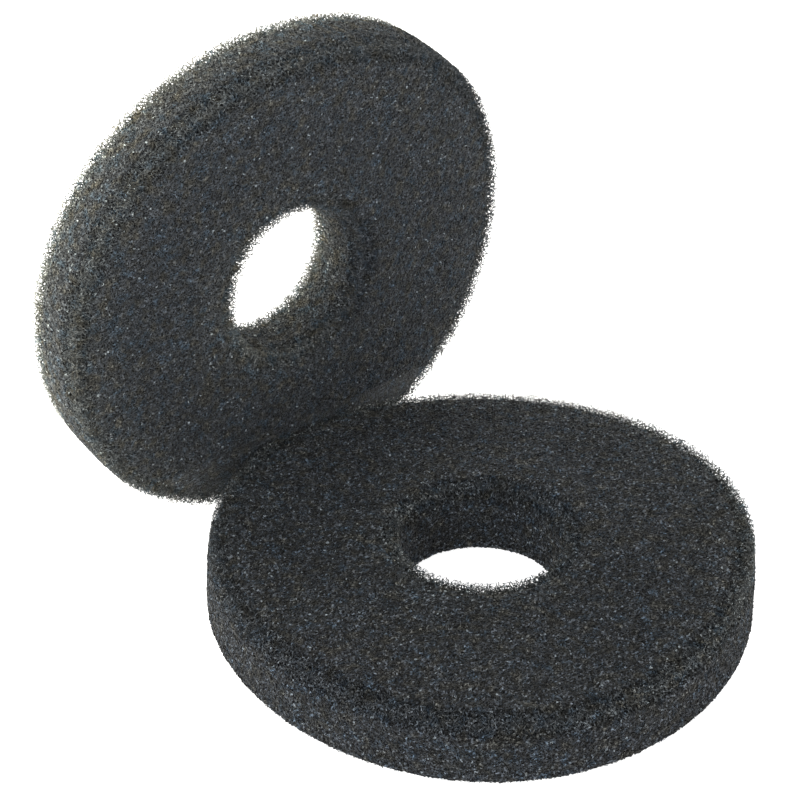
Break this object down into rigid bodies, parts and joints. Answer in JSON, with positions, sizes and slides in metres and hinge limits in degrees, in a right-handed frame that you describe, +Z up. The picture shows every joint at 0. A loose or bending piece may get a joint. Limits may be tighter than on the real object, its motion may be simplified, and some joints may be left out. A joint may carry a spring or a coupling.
{
  "type": "sponge filter",
  "caption": "Round filter foams with a centre hole for a pond filter canister, set down with one flat and the other on its rim leaning on it.",
  "frame": {"origin": "centre of the flat pad's hole, in the plane that the pads stand on", "axes": "+Z up along the flat pad's hole; +Y level, towards the side where the other pad stands; +X level, to the right seen from the open side of the flat pad"},
  "size_m": [0.2861, 0.2733, 0.222],
  "materials": {
    "filter_foam": "matte open-cell foam"
  },
  "bodies": {
    "flat_pad": {"flat_foam_pad": "filter_foam"},
    "leaning_pad": {"leaning_foam_pad": "filter_foam"}
  },
  "joints": [
    {"name": "lift_off", "type": "slide", "parent": "flat_pad", "child": "leaning_pad", "axis": [0, 0, 1], "range_m": [0, 0.25]}
  ]
}
